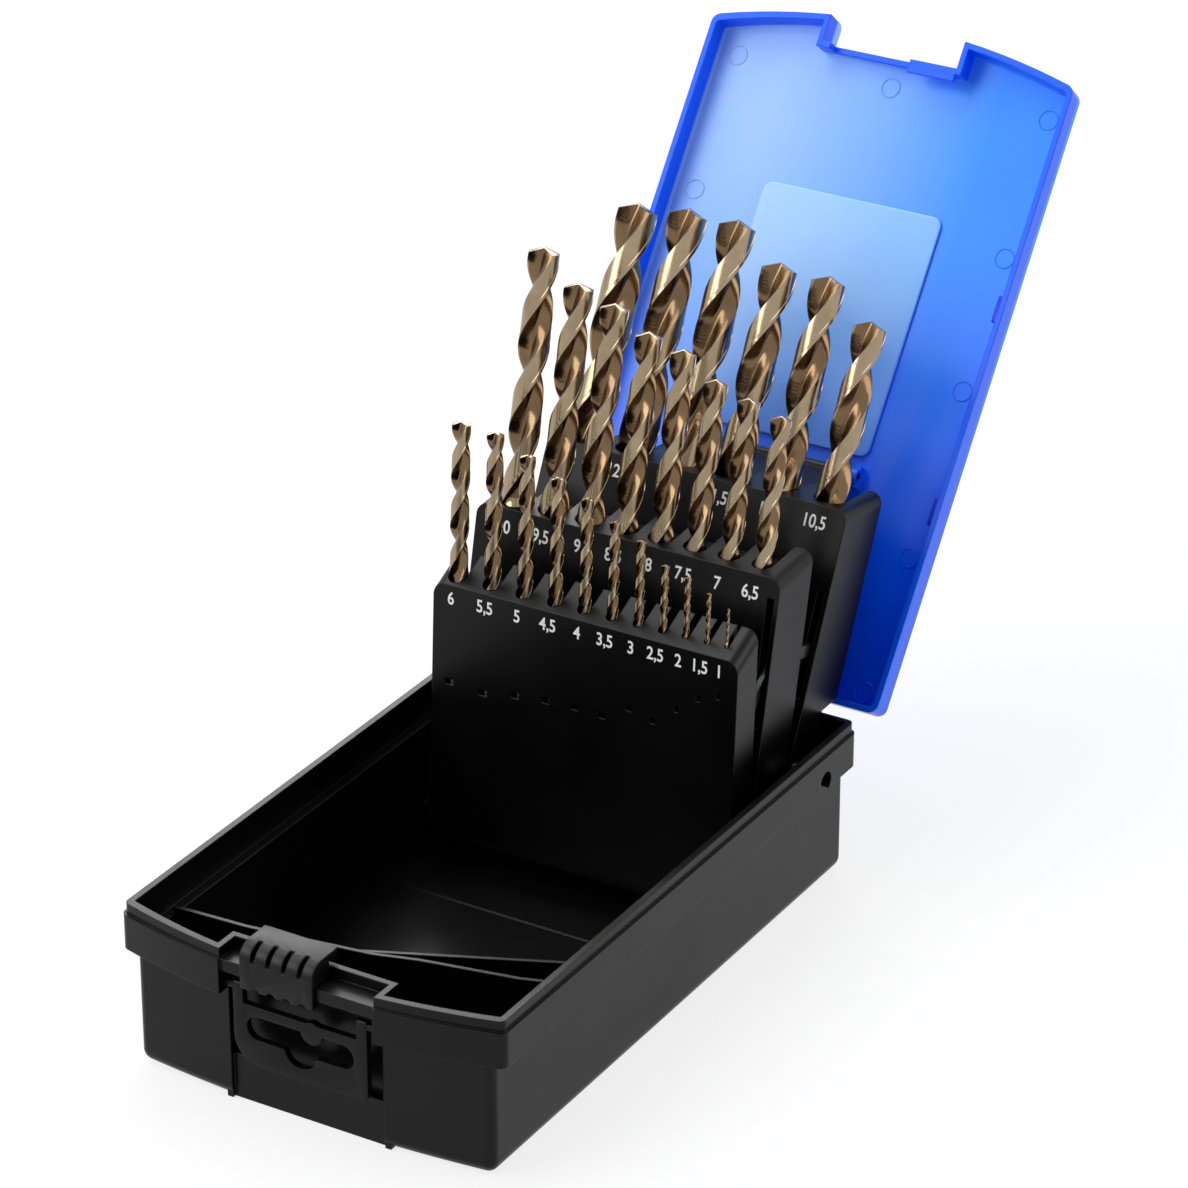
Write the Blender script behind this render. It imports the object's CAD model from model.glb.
import math

import bpy
from mathutils import Matrix, Vector


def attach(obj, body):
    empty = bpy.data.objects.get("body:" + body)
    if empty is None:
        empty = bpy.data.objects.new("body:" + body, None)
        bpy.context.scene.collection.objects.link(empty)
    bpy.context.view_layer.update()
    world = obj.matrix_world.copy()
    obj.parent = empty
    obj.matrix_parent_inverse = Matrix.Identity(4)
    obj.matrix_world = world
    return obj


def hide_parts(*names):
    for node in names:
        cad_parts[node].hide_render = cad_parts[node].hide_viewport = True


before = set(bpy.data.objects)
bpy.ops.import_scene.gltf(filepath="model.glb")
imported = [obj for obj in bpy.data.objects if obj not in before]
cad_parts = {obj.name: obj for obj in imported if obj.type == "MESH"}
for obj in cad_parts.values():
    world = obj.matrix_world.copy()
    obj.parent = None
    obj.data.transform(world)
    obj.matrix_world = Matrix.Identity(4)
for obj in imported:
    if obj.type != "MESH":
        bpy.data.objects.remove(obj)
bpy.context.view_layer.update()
bpy.ops.object.select_all(action="DESELECT")


# ---- Studio -------------------------------------------------------------------------------
# A pale sweep of paper under the case and four large soft lamps: right, left, overhead, and one
# behind that draws the bright lines along the rim. The camera stands in front and to the right.
def linear(code):
    """Turn an sRGB hex value into the linear colour that Blender wants."""
    parts = [int(code[i:i + 2], 16) / 255 for i in (1, 3, 5)]
    light = [c / 12.92 if c <= 0.04045 else ((c + 0.055) / 1.055) ** 2.4 for c in parts]
    return (*light, 1.0)


def add_node(material, kind, values=None, links=None, **options):
    """Add one node to a material or world, with its options, input values and links."""
    tree = material.node_tree
    node = tree.nodes.new(kind)
    for name, value in options.items():
        setattr(node, name, value)
    for name, value in (values or {}).items():
        node.inputs[name].default_value = value
    for name, source in (links or {}).items():
        tree.links.new(source, node.inputs[name])
    return node


def new_material(name):
    """Make an empty node material."""
    material = bpy.data.materials.new(name)
    material.use_nodes = True
    material.node_tree.nodes.clear()
    return material


# The camera looks down by the first angle and is turned to its left by the second, in degrees.
camera_down, camera_turn = 26.82, 30.86
camera_data = bpy.data.cameras.new("camera")
camera_data.sensor_width = 36.0
camera_data.lens = 153.8
camera_data.clip_start = 0.1
camera_data.clip_end = 30.0
camera = bpy.data.objects.new("camera", camera_data)
bpy.context.scene.collection.objects.link(camera)
camera.location = (0.71095, -1.1304, 0.80272)
camera.rotation_euler = (math.radians(90 - camera_down), 0, math.radians(camera_turn))
bpy.context.scene.camera = camera

floor_size, floor_drop = 12, 0.0004
bpy.ops.mesh.primitive_plane_add(size=floor_size, location=(0, 0, -floor_drop))
floor = bpy.context.active_object
floor.name = "floor"
# Uncoated white paper scatters all light evenly, so the shadow is soft and nothing is mirrored.
paper = new_material("white_paper_sweep")


def white_seen(tree_owner):
    """Be 1 for the rays that show the background: seen straight, mirrored or through glass."""
    rays = add_node(tree_owner, "ShaderNodeLightPath")
    mirrored = add_node(tree_owner, "ShaderNodeMath", None,
                        {0: rays.outputs["Is Camera Ray"], 1: rays.outputs["Is Glossy Ray"]},
                        operation="MAXIMUM")
    return add_node(tree_owner, "ShaderNodeMath", None,
                    {0: mirrored.outputs[0], 1: rays.outputs["Is Transmission Ray"]},
                    operation="MAXIMUM")


matte = add_node(paper, "ShaderNodeBsdfDiffuse", {"Color": linear("#f2f2f2")})
shine = add_node(paper, "ShaderNodeEmission", {"Color": linear("#ffffff"), "Strength": 1.0})
shadow_kept = 0.2
seen = add_node(paper, "ShaderNodeMath", {1: 1 - shadow_kept},
                {0: white_seen(paper).outputs[0]}, operation="MULTIPLY")
mixed = add_node(paper, "ShaderNodeMixShader", None,
                 {0: seen.outputs[0], 1: matte.outputs[0], 2: shine.outputs[0]})
add_node(paper, "ShaderNodeOutputMaterial", None, {"Surface": mixed.outputs[0]})
floor.data.materials.append(paper)

# The room is a dim cool grey that fills the shadows, and shows as white wherever it is seen.
world = bpy.data.worlds.new("studio")
bpy.context.scene.world = world
world.use_nodes = True
world.node_tree.nodes.clear()
room = add_node(world, "ShaderNodeBackground", {"Color": linear("#e9edf2"), "Strength": 0.35})
white = add_node(world, "ShaderNodeBackground", {"Color": linear("#ffffff"), "Strength": 1.0})
seen = add_node(world, "ShaderNodeMixShader", None,
                {0: white_seen(world).outputs[0], 1: room.outputs[0], 2: white.outputs[0]})
add_node(world, "ShaderNodeOutputWorld", None, {"Surface": seen.outputs[0]})


def soft_lamp(name, place, aim, width, height, power):
    """Hang a rectangular soft lamp that points at a place on the case."""
    lamp_data = bpy.data.lights.new(name, "AREA")
    lamp_data.shape = "RECTANGLE"
    lamp_data.size = width
    lamp_data.size_y = height
    lamp_data.energy = power
    lamp = bpy.data.objects.new(name, lamp_data)
    bpy.context.scene.collection.objects.link(lamp)
    lamp.location = place
    lamp.rotation_euler = (Vector(aim) - Vector(place)).to_track_quat("-Z", "Y").to_euler()


soft_lamp("lamp_right", (1.5, 0.7, 0.9), (0, 0, 0.08), 1.2, 1.2, 11)
soft_lamp("lamp_left", (-0.85, -1.0, 1.05), (0, 0.15, 0.12), 1.1, 1.0, 15)
soft_lamp("lamp_above", (-0.55, 0.3, 1.5), (0, 0.05, 0.1), 1.5, 1.1, 18)
soft_lamp("lamp_behind", (-0.95, 1.65, 1.05), (0, 0, 0.05), 1.2, 0.8, 15)
bpy.context.scene.view_settings.view_transform = "Standard"


# ---- Base ---------------------------------------------------------------------------------
# The bottom of the case is one injection moulding in black polypropylene. Its walls have a
# fine satin texture from the tool, and the rim is rubbed a little brighter by the lid.
def satin_plastic(name, colour, worn, grain_mm, rough, gloss):
    """Satin moulded plastic: an even dark colour, a wide soft highlight and a fine tool texture.

    Corners of a moulding are never sharp, so each edge is shaded as a small radius. The tool
    texture is near 0.1 mm in truth, and the grain is drawn coarser than that so that it shows.
    """
    edge_mm, cloud_mm = 0.5, 38
    material = new_material(name)
    place = add_node(material, "ShaderNodeTexCoord")
    grain = add_node(material, "ShaderNodeTexNoise",
                     {"Scale": 1000 / grain_mm, "Detail": 3.0, "Roughness": 0.6},
                     {"Vector": place.outputs["Object"]})
    cloud = add_node(material, "ShaderNodeTexNoise",
                     {"Scale": 1000 / cloud_mm, "Detail": 4.0, "Roughness": 0.55},
                     {"Vector": place.outputs["Object"]})
    tint = add_node(material, "ShaderNodeMix", {"A": linear(colour), "B": linear(worn)},
                    {"Factor": cloud.outputs["Fac"]}, data_type="RGBA")
    dull = add_node(material, "ShaderNodeMapRange",
                    {"From Min": 0.3, "From Max": 0.7,
                     "To Min": rough - 0.04, "To Max": rough + 0.05},
                    {"Value": cloud.outputs["Fac"]})
    soft_edge = add_node(material, "ShaderNodeBevel", {"Radius": edge_mm / 1000}, samples=6)
    relief = add_node(material, "ShaderNodeBump", {"Strength": 0.12, "Distance": 0.00015},
                      {"Height": grain.outputs["Fac"], "Normal": soft_edge.outputs["Normal"]})
    surface = add_node(material, "ShaderNodeBsdfPrincipled",
                       {"IOR": 1.49, "Specular IOR Level": gloss},
                       {"Base Color": tint.outputs["Result"], "Roughness": dull.outputs["Result"],
                        "Normal": relief.outputs["Normal"]})
    add_node(material, "ShaderNodeOutputMaterial", None, {"Surface": surface.outputs["BSDF"]})
    return material


def dress(node, material):
    """Give every slot of a carried-over node one material."""
    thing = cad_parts[node]
    if not thing.material_slots:
        thing.data.materials.append(material)
    for slot in thing.material_slots:
        slot.material = material


# Black polypropylene off a spark-eroded tool: nearly no colour of its own, only grey sheen.
base_plastic = satin_plastic("black_polypropylene_satin", "#010102", "#040404", 0.7, 0.3, 0.2)
dress("base_case", base_plastic)


# ---- Lid ----------------------------------------------------------------------------------
# The lid is one moulding in clear-blue polypropylene, glossy inside and out. The walls are thin
# and let light through: pale on the flats, deep blue in the rim and by the hinge.
lid_open = math.radians(126.7)
lid_along = (0.0, -math.cos(lid_open), math.sin(lid_open))
lid_out = (0.0, -math.sin(lid_open), -math.cos(lid_open))
hinge = Vector((0.0, 0.1145, 0.0485))
lid_turn = (Matrix.Translation(hinge) @ Matrix.Rotation(-lid_open, 4, "X")
            @ Matrix.Translation(-hinge))


def clear_plastic(name, near, far, left, thick):
    """Clear-blue gloss: the tint fades from the hinge to the front, and to the left side.

    The rim is seen through its whole depth, so it keeps one deep tint of its own.
    """
    cloud_mm, ripple_mm, edge_mm = 45, 0.9, 0.6
    fade_from_mm, fade_to_mm, half_fade_mm = 30, 200, 38.5
    rim_from_mm, rim_to_mm = -12.1, -10.5
    material = new_material(name)
    place = add_node(material, "ShaderNodeTexCoord")
    from_hinge = add_node(material, "ShaderNodeVectorMath", {1: -hinge},
                          {0: place.outputs["Object"]}, operation="ADD")
    along = add_node(material, "ShaderNodeVectorMath", {1: lid_along}, {0: from_hinge.outputs[0]},
                     operation="DOT_PRODUCT")
    above = add_node(material, "ShaderNodeVectorMath", {1: lid_out}, {0: from_hinge.outputs[0]},
                     operation="DOT_PRODUCT")
    across = add_node(material, "ShaderNodeSeparateXYZ", None, {0: place.outputs["Object"]})
    run = add_node(material, "ShaderNodeMapRange",
                   {"From Min": fade_from_mm / 1000, "From Max": fade_to_mm / 1000},
                   {"Value": along.outputs["Value"]}, interpolation_type="SMOOTHSTEP")
    side = add_node(material, "ShaderNodeMapRange",
                    {"From Min": half_fade_mm / 1000, "From Max": -half_fade_mm / 1000},
                    {"Value": across.outputs["X"]})
    edge = add_node(material, "ShaderNodeMapRange",
                    {"From Min": rim_from_mm / 1000, "From Max": rim_to_mm / 1000},
                    {"Value": above.outputs["Value"]})
    cloud = add_node(material, "ShaderNodeTexNoise", {"Scale": 1000 / cloud_mm, "Detail": 3.0},
                     {"Vector": place.outputs["Object"]})
    drift = add_node(material, "ShaderNodeMath", {1: 0.5, 2: -0.25}, {0: cloud.outputs["Fac"]},
                     operation="MULTIPLY_ADD")
    blend = add_node(material, "ShaderNodeMath", None,
                     {0: run.outputs["Result"], 1: drift.outputs[0]}, operation="ADD",
                     use_clamp=True)
    length_tint = add_node(material, "ShaderNodeMix", {"A": linear(near), "B": linear(far)},
                           {"Factor": blend.outputs[0]}, data_type="RGBA")
    pale = add_node(material, "ShaderNodeMath", None,
                    {0: side.outputs["Result"], 1: run.outputs["Result"]}, operation="MULTIPLY")
    side_tint = add_node(material, "ShaderNodeMix", {"B": linear(left)},
                         {"Factor": pale.outputs[0], "A": length_tint.outputs["Result"]},
                         data_type="RGBA")
    rim_tint = add_node(material, "ShaderNodeMix", {"B": linear(thick)},
                        {"Factor": edge.outputs["Result"], "A": side_tint.outputs["Result"]},
                        data_type="RGBA")
    ripple = add_node(material, "ShaderNodeTexNoise", {"Scale": 1000 / ripple_mm, "Detail": 2.0},
                      {"Vector": place.outputs["Object"]})
    soft_edge = add_node(material, "ShaderNodeBevel", {"Radius": edge_mm / 1000}, samples=6)
    relief = add_node(material, "ShaderNodeBump", {"Strength": 0.08, "Distance": 0.0001},
                      {"Height": ripple.outputs["Fac"], "Normal": soft_edge.outputs["Normal"]})
    surface = add_node(material, "ShaderNodeBsdfPrincipled",
                       {"Roughness": 0.26, "IOR": 1.49, "Specular IOR Level": 0.22,
                        "Subsurface Weight": 0.2, "Subsurface Radius": (0.0005, 0.001, 0.004),
                        "Subsurface Scale": 1.0},
                       {"Base Color": rim_tint.outputs["Result"],
                        "Normal": relief.outputs["Normal"]})
    add_node(material, "ShaderNodeOutputMaterial", None, {"Surface": surface.outputs["BSDF"]})
    return material


# Glossy blue polypropylene with its pigment thinned, so that the flats glow with passing light.
lid_plastic = clear_plastic("blue_polypropylene_gloss", "#0052f6", "#2890ff", "#98bffe",
                            "#005cf6")
# The label panel stands in from the wall and catches more light, so it is a shade paler.
panel_plastic = clear_plastic("blue_polypropylene_panel", "#1f6cfa", "#8ac2ff", "#aaccfe",
                              "#2f86fb")
dress("lid", lid_plastic)


def edit_mode(on):
    """Go into edit mode with all selected, or back out of it."""
    bpy.ops.object.mode_set(mode="EDIT" if on else "OBJECT")
    if on:
        bpy.ops.mesh.select_all(action="SELECT")


def finish_piece(piece, name, material, body):
    """Name a finished piece, give it its material, and let it ride on its body."""
    piece.name = name
    piece.data.materials.clear()
    piece.data.materials.append(material)
    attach(piece, body)
    bpy.ops.object.select_all(action="DESELECT")


def swing_open(piece):
    """Turn a piece with the lid from its shut place, with its object left at the origin."""
    matrix = piece.matrix_basis.copy()
    piece.matrix_basis = Matrix.Identity(4)
    piece.data.transform(lid_turn @ matrix)


# Raised panel inside the lid for a label, with soft rounded edges. Sizes are in mm.
panel_wide, panel_long, panel_corner = 65.2, 81.6, 3.5
panel_y, panel_top, panel_depth, panel_round = -10.8, 60.72, 0.9, 0.6
bpy.ops.mesh.primitive_plane_add(size=1, location=(0, panel_y / 1000, panel_top / 1000))
panel = bpy.context.active_object
panel.scale = (panel_wide / 1000, panel_long / 1000, 1)
bpy.ops.object.transform_apply(location=False, rotation=False, scale=True)
edit_mode(True)
bpy.ops.mesh.bevel(offset=panel_corner / 1000, segments=8, affect="VERTICES")
bpy.ops.mesh.select_all(action="SELECT")
bpy.ops.mesh.extrude_region_move(TRANSFORM_OT_translate={"value": (0, 0, panel_depth / 1000)})
bpy.ops.mesh.select_all(action="SELECT")
bpy.ops.mesh.normals_make_consistent(inside=False)
edit_mode(False)
round_edge = panel.modifiers.new("round_edge", "BEVEL")
round_edge.width = panel_round / 1000
round_edge.segments = 4
round_edge.limit_method = "ANGLE"
bpy.ops.object.modifier_apply(modifier="round_edge")
bpy.ops.object.shade_smooth_by_angle(angle=math.radians(35))
swing_open(panel)
finish_piece(panel, "lid_label_panel", panel_plastic, "lid")

# Two short ribs inside the right wall, which snap over the closing lip of the base. They are
# solid all through, so the same plastic looks darker there. Sizes are in mm.
rib_plastic = clear_plastic("blue_polypropylene_rib", "#0024c8", "#0a48dc", "#0a48dc",
                            "#0024c8")
rib_length, rib_reach, rib_height, rib_round = 9.0, 2.8, 1.6, 0.3
rib_wall, rib_level = 64.3, 57.0
for index, y in enumerate((-26.0, 42.0)):
    bpy.ops.mesh.primitive_cube_add(size=1, location=((rib_wall - rib_reach / 2) / 1000, y / 1000,
                                                      rib_level / 1000))
    rib = bpy.context.active_object
    rib.scale = (rib_reach / 1000, rib_length / 1000, rib_height / 1000)
    bpy.ops.object.transform_apply(location=False, rotation=False, scale=True)
    soft = rib.modifiers.new("soft", "BEVEL")
    soft.width = rib_round / 1000
    soft.segments = 3
    bpy.ops.object.modifier_apply(modifier="soft")
    bpy.ops.object.shade_smooth_by_angle(angle=math.radians(35))
    swing_open(rib)
    finish_piece(rib, f"lid_snap_rib_{index}", rib_plastic, "lid")

# Witness marks of the ejector pins, each a shallow ring in the lid's floor. Sizes are in mm.
lid_floor, mark_radius, mark_rise = 61.86, 3.2, 0.22
for index, (x, y) in enumerate(((-57, -90.5), (-57, -43.5), (-57, 1.5), (-57, 57.5), (0, -90.3),
                                (57, -90.5), (57, -43.5), (57, 1.5), (57, 57.5), (56, 102.8))):
    bpy.ops.mesh.primitive_torus_add(location=(x / 1000, y / 1000, lid_floor / 1000),
                                     major_radius=mark_radius / 1000,
                                     minor_radius=mark_rise / 1000,
                                     major_segments=40, minor_segments=8)
    ring = bpy.context.active_object
    bpy.ops.object.shade_smooth()
    swing_open(ring)
    finish_piece(ring, f"ejector_mark_{index}", lid_plastic, "lid")


# ---- Hinge pins and links ------------------------------------------------------------------
# Short drawn-steel pins join the lid to the base, and flat stamped-steel links join the racks.
def bright_steel(name, colour, rough):
    """Drawn or stamped steel: grey, with scratches along the work, drawn coarse to show."""
    scratch_mm = 0.5
    material = new_material(name)
    place = add_node(material, "ShaderNodeTexCoord")
    streaks = add_node(material, "ShaderNodeMapping", {"Scale": (0.1, 1.0, 1.0)},
                       {"Vector": place.outputs["Object"]})
    lines = add_node(material, "ShaderNodeTexNoise", {"Scale": 1000 / scratch_mm, "Detail": 3.0},
                     {"Vector": streaks.outputs["Vector"]})
    dull = add_node(material, "ShaderNodeMapRange", {"To Min": rough - 0.06, "To Max": rough + 0.1},
                    {"Value": lines.outputs["Fac"]})
    relief = add_node(material, "ShaderNodeBump", {"Strength": 0.1, "Distance": 0.00005},
                      {"Height": lines.outputs["Fac"]})
    surface = add_node(material, "ShaderNodeBsdfPrincipled",
                       {"Base Color": linear(colour), "Metallic": 1.0},
                       {"Roughness": dull.outputs["Result"], "Normal": relief.outputs["Normal"]})
    add_node(material, "ShaderNodeOutputMaterial", None, {"Surface": surface.outputs["BSDF"]})
    return material


# Bright drawn wire, cut to length: a clean grey glint.
steel = bright_steel("drawn_steel_bright", "#b9babb", 0.3)
for node in ("hinge_pin_left", "hinge_pin_right"):
    dress(node, steel)
# Strip blackened with oil after stamping: dark, with a dull metal shine.
dark_steel = bright_steel("blackened_steel_strip", "#3c3d40", 0.35)
for node in ("link_front", "link_rear"):
    dress(node, dark_steel)


# ---- Racks --------------------------------------------------------------------------------
# Three stepped racks hold the drills. Each is a black polypropylene moulding with a sloped top
# and a printed size under every socket.

# The same black polypropylene as the case, from a slightly coarser tool, so a little duller.
rack_plastic = satin_plastic("black_polypropylene_rack", "#010102", "#040404", 0.6, 0.32, 0.2)
for node in ("rack_front", "rack_middle", "rack_rear", "lid_link"):
    dress(node, rack_plastic)

# Pad-printed white ink: a thin flat film, matt, with a faint speckle drawn coarse to show.
speckle_mm = 0.3
print_white = new_material("pad_printed_white_ink")
place = add_node(print_white, "ShaderNodeTexCoord")
speckle = add_node(print_white, "ShaderNodeTexNoise", {"Scale": 1000 / speckle_mm, "Detail": 2.0},
                   {"Vector": place.outputs["Object"]})
tint = add_node(print_white, "ShaderNodeMix", {"A": linear("#dcdcda"), "B": linear("#fbfbf9")},
                {"Factor": speckle.outputs["Fac"]}, data_type="RGBA")
surface = add_node(print_white, "ShaderNodeBsdfPrincipled", {"Roughness": 0.5},
                   {"Base Color": tint.outputs["Result"]})
add_node(print_white, "ShaderNodeOutputMaterial", None, {"Surface": surface.outputs["BSDF"]})

# Sizes are in mm. For each rack: the top edge of its front face as (y, z), its lean in degrees,
# the drop from that edge to the numerals, and the places across, with a pitch that shrinks.
numeral_height, ink_film, ink_spread = 5.9, 0.04, 0.09
numeral_squeeze = 0.84
printed = dict(
    front=dict(top=(53.2, 95.25), tilt=3.2, below=4.6, first=-47.9, pitch=12.31, shrink=0.61,
               sizes=("6", "5,5", "5", "4,5", "4", "3,5", "3", "2,5", "2", "1,5", "1")),
    middle=dict(top=(79.3, 112.0), tilt=12.5, below=6.2, first=-44.1, pitch=13.61, shrink=0.33,
                sizes=("10", "9,5", "9", "8,5", "8", "7,5", "7", "6,5")),
    rear=dict(top=(121.7, 117.4), tilt=25.5, below=5.6, first=-45.0, pitch=17.99, shrink=0.13,
              sizes=("13", "12,5", "12", "11,5", "11", "10,5")),
)


def place_across(row, index):
    """Give the place of a socket across its rack, in mm: the pitch shrinks with the drills."""
    return row["first"] + row["pitch"] * index - row["shrink"] * index * (index - 1) / 2


for rack, row in printed.items():
    lean = math.radians(row["tilt"])
    numerals = []
    for index, size in enumerate(row["sizes"]):
        bpy.ops.object.text_add()
        text = bpy.context.active_object
        text.data.body = size
        text.data.align_x = "CENTER"
        text.data.align_y = "CENTER"
        text.data.size = numeral_height / 1000
        text.data.extrude = ink_film / 1000
        text.data.offset = ink_spread / 1000
        bpy.ops.object.convert(target="MESH")
        text = bpy.context.active_object
        across = place_across(row, index)
        y = row["top"][0] - row["below"] * math.sin(lean)
        z = row["top"][1] - row["below"] * math.cos(lean)
        place = (Matrix.Translation((across / 1000, y / 1000, z / 1000))
                 @ Matrix.Rotation(math.pi / 2 - lean, 4, "X")
                 @ Matrix.Diagonal((numeral_squeeze, 1, 1, 1)))
        text.data.transform(place)
        numerals.append(text)
    bpy.ops.object.select_all(action="DESELECT")
    for text in numerals:
        text.select_set(True)
    bpy.context.view_layer.objects.active = numerals[0]
    bpy.ops.object.join()
    finish_piece(bpy.context.active_object, f"numerals_{rack}", print_white, f"rack_{rack}")


# ---- Drills -------------------------------------------------------------------------------
# Jobber twist drills ground from high-speed steel with cobalt. A low-temperature temper leaves
# them straw to bronze, browner in the flutes, with fine grinding lines across the lands.
def tempered_steel(name, dark, light, smooth, rough):
    """Ground cobalt steel: straw to brown, mirror-like, with lines from the wheel across it.

    A fine wheel leaves lines closer than can be seen, so they are drawn coarser to show.
    """
    line_mm, cloud_mm = 0.4, 7
    material = new_material(name)
    place = add_node(material, "ShaderNodeTexCoord")
    squash = add_node(material, "ShaderNodeMapping", {"Scale": (0.2, 0.2, 1.0)},
                      {"Vector": place.outputs["Object"]})
    lines = add_node(material, "ShaderNodeTexNoise", {"Scale": 1000 / line_mm, "Detail": 2.0},
                     {"Vector": squash.outputs["Vector"]})
    cloud = add_node(material, "ShaderNodeTexNoise", {"Scale": 1000 / cloud_mm, "Detail": 3.0},
                     {"Vector": place.outputs["Object"]})
    tint = add_node(material, "ShaderNodeMix", {"A": linear(dark), "B": linear(light)},
                    {"Factor": cloud.outputs["Fac"]}, data_type="RGBA")
    dull = add_node(material, "ShaderNodeMapRange", {"To Min": smooth, "To Max": rough},
                    {"Value": lines.outputs["Fac"]})
    relief = add_node(material, "ShaderNodeBump", {"Strength": 0.06, "Distance": 0.00003},
                      {"Height": lines.outputs["Fac"]})
    surface = add_node(material, "ShaderNodeBsdfPrincipled", {"Metallic": 1.0},
                       {"Base Color": tint.outputs["Result"], "Roughness": dull.outputs["Result"],
                        "Normal": relief.outputs["Normal"]})
    add_node(material, "ShaderNodeOutputMaterial", None, {"Surface": surface.outputs["BSDF"]})
    return material


# The lands and the point are ground last and stay pale straw.
bronze_land = tempered_steel("cobalt_steel_ground_land", "#8b7a62", "#ad9c82", 0.17, 0.27)
# The flutes keep the brown of the temper and mirror more darkly.
bronze_flute = tempered_steel("cobalt_steel_flute_temper", "#5c4937", "#846c50", 0.15, 0.25)
helix = math.radians(30)
point_half_angle = math.radians(67.5)
# Half of the drill's section, anticlockwise from the cutting lip: angle in degrees and radius
# as a share of the drill's. The lip is straight, the web thin, and the heel ends the flute.
half_section = (
    (7.5, 1.0), (8.4, 0.90), (9.8, 0.77), (12.0, 0.63), (15.5, 0.49), (21.0, 0.37), (30.0, 0.275),
    (42.0, 0.225), (56.0, 0.21), (70.0, 0.225), (81.0, 0.27), (90.0, 0.345), (97.0, 0.44),
    (103.0, 0.56), (108.0, 0.69), (112.0, 0.81), (115.0, 0.90), (118.0, 0.955), (124.0, 0.962),
    (132.0, 0.962), (141.0, 0.962), (150.0, 0.962), (159.0, 0.962), (168.0, 0.962), (175.0, 0.962),
    (177.0, 1.0), (182.0, 1.0),
)
section = [(math.radians(a + turn), r) for turn in (0, 180) for a, r in half_section]


def twist_drill(size, overall, flute):
    """Sweep the section up a right-hand helix, grind the point, and draw down the round shank.

    The flutes run out above the shank, whose end has a bevel. A land is what lies outside the
    given share of the radius.
    """
    radius = size / 2000
    rate = math.tan(helix) / radius
    length = flute / 1000
    runout = 1.3 * size / 1000
    shank_share, land_share = 0.985, 0.94
    shank_bevel, bevel_share = radius * 0.2, 0.86
    cone = math.tan(point_half_angle)
    touch, point_gap = 1e-7, 0.00002
    bpy.ops.mesh.primitive_circle_add(vertices=len(section), radius=radius, fill_type="NOTHING")
    drill = bpy.context.active_object
    for vertex, (angle, share) in zip(drill.data.vertices, section):
        vertex.co = (radius * share * math.cos(angle), radius * share * math.sin(angle), 0)
    sweep = drill.modifiers.new("sweep", "SCREW")
    sweep.axis = "Z"
    sweep.angle = rate * length
    sweep.screw_offset = length
    sweep.steps = sweep.render_steps = max(60, min(150, int(math.degrees(rate * length) / 4)))
    sweep.use_merge_vertices = False
    bpy.ops.object.modifier_apply(modifier="sweep")
    for part in (drill.data.vertices, drill.data.edges, drill.data.polygons):
        for element in part:
            element.select = False
    for vertex in drill.data.vertices:
        x, y, z = vertex.co
        out = math.hypot(x, y)
        if z < runout:
            share = 1 - z / runout
            fuller = out + (radius * shank_share - out) * share * share * (3 - 2 * share)
            vertex.co = (x * fuller / out, y * fuller / out, z)
        elif z > length - touch:
            drop = out / cone
            turn = math.atan2(y, x) - rate * drop
            vertex.co = (out * math.cos(turn), out * math.sin(turn), length - drop)
        else:
            limit = length - out / cone - point_gap
            if z > limit:
                turn = math.atan2(y, x) - rate * (z - limit)
                vertex.co = (out * math.cos(turn), out * math.sin(turn), limit)
    for vertex in drill.data.vertices:
        edge_of_point = length - math.hypot(*vertex.co.xy) / cone
        vertex.select = vertex.co.z > edge_of_point - point_gap / 2
    bpy.ops.object.mode_set(mode="EDIT")
    bpy.ops.mesh.select_mode(type="VERT")
    bpy.ops.mesh.extrude_edges_move()
    bpy.ops.mesh.merge(type="CENTER")
    bpy.ops.object.mode_set(mode="OBJECT")
    apex = next(v for v in drill.data.vertices if v.select)
    apex.co = (0, 0, length)
    for vertex in drill.data.vertices:
        vertex.select = vertex.co.z < touch
    bpy.ops.object.mode_set(mode="EDIT")
    bpy.ops.mesh.extrude_edges_move(
        TRANSFORM_OT_translate={"value": (0, 0, shank_bevel - (overall - flute) / 1000)})
    bpy.ops.mesh.extrude_edges_move(TRANSFORM_OT_translate={"value": (0, 0, -shank_bevel)})
    bpy.ops.transform.resize(value=(bevel_share, bevel_share, 1))
    bpy.ops.mesh.edge_face_add()
    bpy.ops.mesh.select_all(action="SELECT")
    bpy.ops.mesh.normals_make_consistent(inside=False)
    edit_mode(False)
    bpy.ops.object.shade_smooth_by_angle(angle=math.radians(28))
    drill.data.materials.append(bronze_land)
    drill.data.materials.append(bronze_flute)
    for face in drill.data.polygons:
        shares = [math.hypot(*drill.data.vertices[i].co.xy) / radius for i in face.vertices]
        in_flute = sum(shares) / len(shares) < land_share and face.center.z > runout / 2
        on_point = max(drill.data.vertices[i].co.z for i in face.vertices) > length - 10 * touch
        face.material_index = 1 if in_flute and not on_point else 0
    return drill


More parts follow.
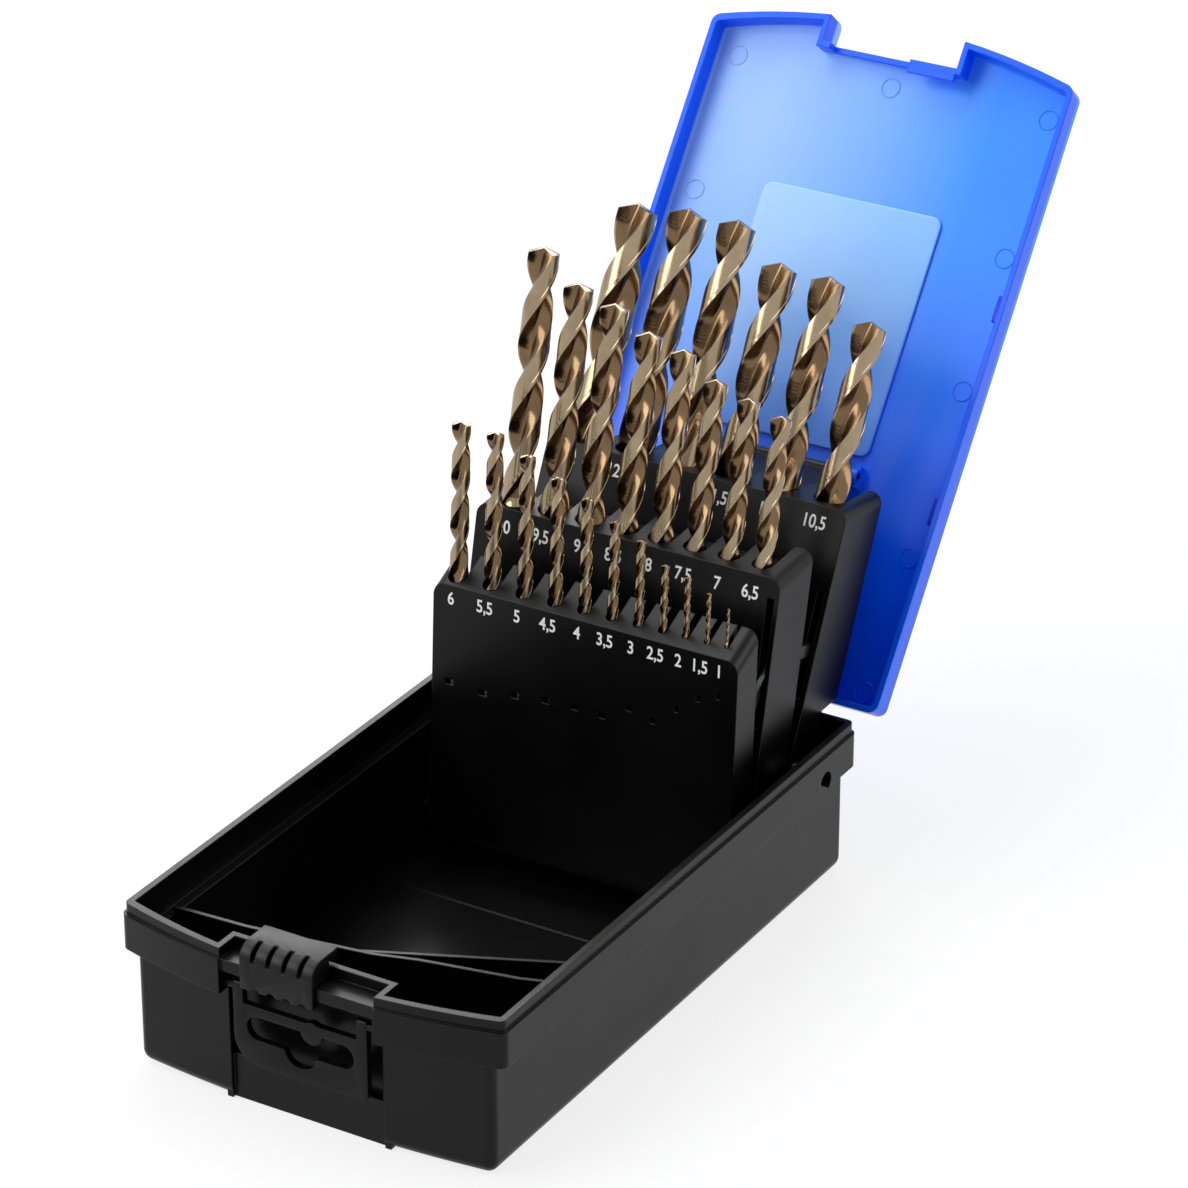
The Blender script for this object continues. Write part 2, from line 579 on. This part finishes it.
# For each drill, in mm: diameter, overall length, flute length, and how far it stands out.
bits = dict(
    front=[(6.0, 93, 57, 53.6), (5.5, 93, 57, 52.9), (5.0, 86, 52, 48.1), (4.5, 80, 47, 43.4),
           (4.0, 75, 43, 39.0), (3.5, 70, 39, 33.7), (3.0, 61, 33, 29.7), (2.5, 57, 30, 23.7),
           (2.0, 49, 24, 21.7), (1.5, 40, 18, 18.3), (1.0, 34, 12, 14.8)],
    middle=[(10.0, 133, 87, 83.0), (9.5, 125, 81, 74.3), (9.0, 125, 81, 70.6),
            (8.5, 117, 75, 64.4), (8.0, 117, 75, 61.6), (7.5, 109, 69, 54.8),
            (7.0, 109, 69, 51.5), (6.5, 101, 63, 48.5)],
    rear=[(13.0, 151, 101, 78.6), (12.5, 151, 101, 80.6), (12.0, 151, 101, 80.5),
          (11.5, 142, 94, 70.4), (11.0, 142, 94, 69.7), (10.5, 133, 87, 58.9)],
)
# The sockets lie this far behind the front face, in mm. The lips at the tips point nearly the
# same way, each turned a little differently, as drills drop in by hand.
bore_back = dict(front=4.4, middle=6.6, rear=8.4)
tip_turn, tip_scatter = math.radians(52), 0.09
for rack, row in printed.items():
    lean = math.radians(row["tilt"])
    for index, (size, overall, flute, out) in enumerate(bits[rack]):
        node = f"drill_{int(size):02d}_{int(size * 10) % 10}"
        drill = twist_drill(size, overall, flute)
        top_y, top_z = row["top"]
        across = place_across(row, index)
        turn = tip_turn + tip_scatter * math.sin(5 * index) - 2 * math.tan(helix) * flute / size
        stand = (Matrix.Translation((across / 1000, top_y / 1000, top_z / 1000))
                 @ Matrix.Rotation(-lean, 4, "X")
                 @ Matrix.Translation((0, bore_back[rack] / 1000, (out - flute) / 1000))
                 @ Matrix.Rotation(turn, 4, "Z"))
        drill.data.transform(stand)
        drill.name = f"twist_{node}"
        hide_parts(node)
        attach(drill, node)
        bpy.ops.object.select_all(action="DESELECT")


# ---- Latch and hanger ---------------------------------------------------------------------
# The slider that locks the lid runs on a rail in the front wall, and the hanger turns on two
# pins moulded to its arms. Both are small mouldings in dark grey polyamide.

# Dry polyamide off a fine tool is duller than the case and a touch greyer.
latch_plastic = satin_plastic("dark_grey_polyamide_latch", "#040405", "#080808", 0.6, 0.36, 0.22)
hanger_plastic = satin_plastic("dark_grey_polyamide_hanger", "#020203", "#050505", 0.6, 0.36, 0.18)


def rounded_copy(node, material, radius_mm):
    """Take a node's place with a copy whose moulded edges are rounded, to catch the light."""
    name = f"{node}_moulding"
    piece = bpy.data.objects.new(name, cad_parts[node].data.copy())
    bpy.context.scene.collection.objects.link(piece)
    bpy.ops.object.select_all(action="DESELECT")
    piece.select_set(True)
    bpy.context.view_layer.objects.active = piece
    edit_mode(True)
    weld, flat = 0.000002, math.radians(0.5)
    bpy.ops.mesh.remove_doubles(threshold=weld)
    bpy.ops.mesh.dissolve_limited(angle_limit=flat)
    edit_mode(False)
    edges = piece.modifiers.new("edges", "BEVEL")
    edges.width = radius_mm / 1000
    edges.segments = 3
    edges.limit_method = "ANGLE"
    edges.angle_limit = math.radians(40)
    edges.use_clamp_overlap = True
    bpy.ops.object.modifier_apply(modifier="edges")
    bpy.ops.object.shade_smooth_by_angle(angle=math.radians(35))
    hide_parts(node)
    finish_piece(piece, name, material, node)


rounded_copy("latch_slider", latch_plastic, 0.5)
rounded_copy("hanger", hanger_plastic, 0.4)
